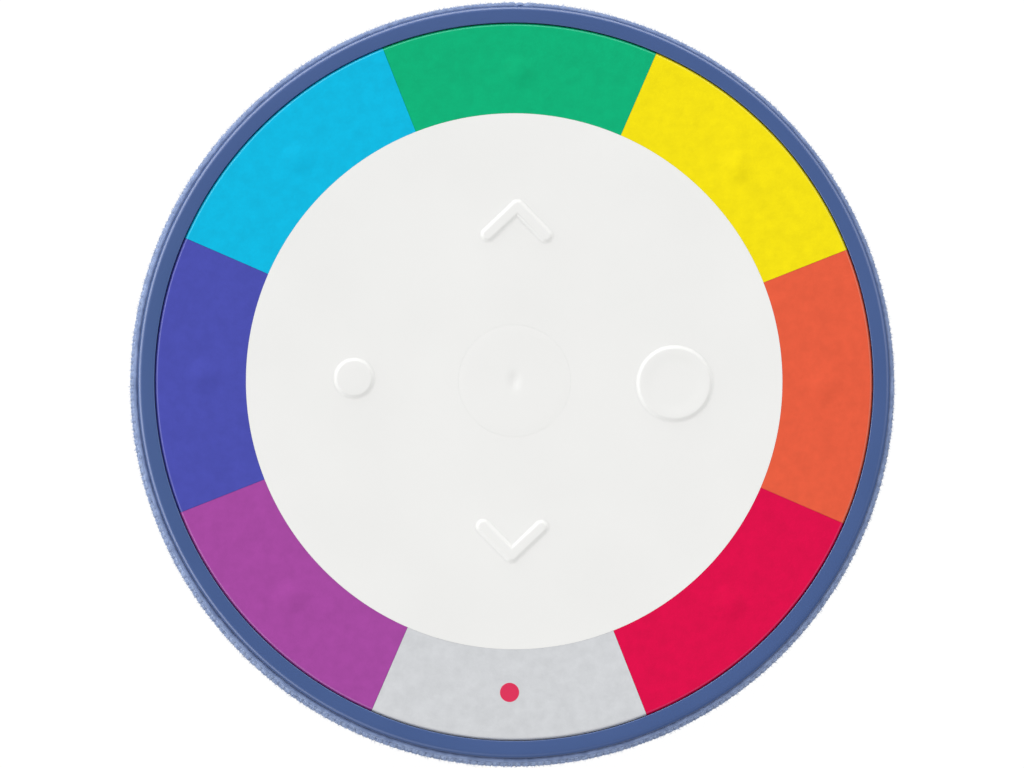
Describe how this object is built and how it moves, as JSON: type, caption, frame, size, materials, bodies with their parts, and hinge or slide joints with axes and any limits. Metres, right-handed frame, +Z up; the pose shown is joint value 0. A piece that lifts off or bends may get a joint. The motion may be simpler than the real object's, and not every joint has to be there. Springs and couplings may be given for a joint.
{
  "type": "portable sound player",
  "caption": "Round, hand-sized sound player: a ring of coloured press keys round a pale control field, blue rim, knitted sleeve and a downward speaker.",
  "frame": {"origin": "middle of the plane the four feet stand on", "axes": "+Z up, out of the key face; +Y towards the sockets; +X towards the large round mark"},
  "size_m": [0.1, 0.1, 0.0336],
  "materials": {
    "rim_plastic": "satin moulded plastic",
    "knit": "blue-grey spacer knit",
    "dark_plastic": "fine spark texture",
    "plate_plastic": "satin moulded plastic",
    "foot_rubber": "matt",
    "screw_steel": "zinc plated",
    "field_silicone": "smooth satin silicone",
    "green_silicone": "fine-grained silicone",
    "yellow_silicone": "fine-grained silicone",
    "orange_silicone": "fine-grained silicone",
    "red_silicone": "fine-grained silicone",
    "grey_silicone": "fine-grained silicone",
    "purple_silicone": "fine-grained silicone",
    "blue_silicone": "fine-grained silicone",
    "sky_silicone": "fine-grained silicone",
    "board_green": "glass-fibre board with solder mask",
    "pad_gold": "gold plated",
    "chip_black": "moulded epoxy",
    "can_metal": "nickel plated",
    "tray_plastic": "natural moulding",
    "cell_foil": "laminated foil pouch",
    "wire_jacket": "PVC jacket",
    "plug_nylon": "nylon",
    "magnet_steel": "zinc plated",
    "cone_paper": "pressed paper",
    "surround_rubber": "matt",
    "ribbon_film": "polyimide film"
  },
  "bodies": {
    "player_body": {"upper_housing": "rim_plastic", "grille_frame": "dark_plastic", "knit_sleeve": "knit", "base_shell": "dark_plastic", "rubber_feet": "foot_rubber", "case_screws": "screw_steel", "keypad_field": "field_silicone", "main_board": "board_green", "board_screws": "screw_steel", "contact_pads": "pad_gold", "processor_chip": "chip_black", "memory_chip": "chip_black", "amplifier_chip": "chip_black", "microphone": "can_metal", "battery_tray": "tray_plastic", "battery_pack": "cell_foil", "battery_leads": "wire_jacket", "battery_plug": "plug_nylon", "speaker_baffle": "dark_plastic", "speaker_basket": "dark_plastic", "speaker_magnet": "magnet_steel", "speaker_surround": "surround_rubber", "speaker_screws": "screw_steel", "speaker_leads": "wire_jacket", "speaker_plug": "plug_nylon", "port_board": "board_green", "port_board_screws": "screw_steel", "usb_socket": "can_metal", "headphone_jack": "chip_black", "power_switch": "can_metal", "port_plate": "plate_plastic", "board_ribbon": "ribbon_film", "ribbon_sockets": "plug_nylon"},
    "key_green": {"key_green": "green_silicone"},
    "key_yellow": {"key_yellow": "yellow_silicone"},
    "key_orange": {"key_orange": "orange_silicone"},
    "key_red": {"key_red": "red_silicone"},
    "key_record": {"key_record": "grey_silicone"},
    "key_purple": {"key_purple": "purple_silicone"},
    "key_blue": {"key_blue": "blue_silicone"},
    "key_sky": {"key_sky": "sky_silicone"},
    "key_up": {"key_up": "field_silicone"},
    "key_down": {"key_down": "field_silicone"},
    "key_quieter": {"key_quieter": "field_silicone"},
    "key_louder": {"key_louder": "field_silicone"},
    "key_play": {"key_play": "field_silicone"},
    "power_slider": {"power_slider": "chip_black"},
    "speaker_cone": {"speaker_cone": "cone_paper"}
  },
  "joints": [
    {"name": "key_green_press", "type": "slide", "parent": "player_body", "child": "key_green", "axis": [0, 0, -1], "range_m": [0, 0.0008], "stiffness_N_per_m": 1800},
    {"name": "key_yellow_press", "type": "slide", "parent": "player_body", "child": "key_yellow", "axis": [0, 0, -1], "range_m": [0, 0.0008], "stiffness_N_per_m": 1800},
    {"name": "key_orange_press", "type": "slide", "parent": "player_body", "child": "key_orange", "axis": [0, 0, -1], "range_m": [0, 0.0008], "stiffness_N_per_m": 1800},
    {"name": "key_red_press", "type": "slide", "parent": "player_body", "child": "key_red", "axis": [0, 0, -1], "range_m": [0, 0.0008], "stiffness_N_per_m": 1800},
    {"name": "key_record_press", "type": "slide", "parent": "player_body", "child": "key_record", "axis": [0, 0, -1], "range_m": [0, 0.0008], "stiffness_N_per_m": 1800},
    {"name": "key_purple_press", "type": "slide", "parent": "player_body", "child": "key_purple", "axis": [0, 0, -1], "range_m": [0, 0.0008], "stiffness_N_per_m": 1800},
    {"name": "key_blue_press", "type": "slide", "parent": "player_body", "child": "key_blue", "axis": [0, 0, -1], "range_m": [0, 0.0008], "stiffness_N_per_m": 1800},
    {"name": "key_sky_press", "type": "slide", "parent": "player_body", "child": "key_sky", "axis": [0, 0, -1], "range_m": [0, 0.0008], "stiffness_N_per_m": 1800},
    {"name": "key_up_press", "type": "slide", "parent": "player_body", "child": "key_up", "axis": [0, 0, -1], "range_m": [0, 0.0008], "stiffness_N_per_m": 1500},
    {"name": "key_down_press", "type": "slide", "parent": "player_body", "child": "key_down", "axis": [0, 0, -1], "range_m": [0, 0.0008], "stiffness_N_per_m": 1500},
    {"name": "key_quieter_press", "type": "slide", "parent": "player_body", "child": "key_quieter", "axis": [0, 0, -1], "range_m": [0, 0.0008], "stiffness_N_per_m": 1500},
    {"name": "key_louder_press", "type": "slide", "parent": "player_body", "child": "key_louder", "axis": [0, 0, -1], "range_m": [0, 0.0008], "stiffness_N_per_m": 1500},
    {"name": "key_play_press", "type": "slide", "parent": "player_body", "child": "key_play", "axis": [0, 0, -1], "range_m": [0, 0.0008], "stiffness_N_per_m": 1500},
    {"name": "power_slide", "type": "slide", "parent": "player_body", "child": "power_slider", "axis": [1, 0, 0], "range_m": [0, 0.003]},
    {"name": "cone_travel", "type": "slide", "parent": "player_body", "child": "speaker_cone", "axis": [0, 0, 1], "range_m": [-0.0006, 0.0006], "stiffness_N_per_m": 1200, "deforming": ["speaker_surround"]}
  ]
}
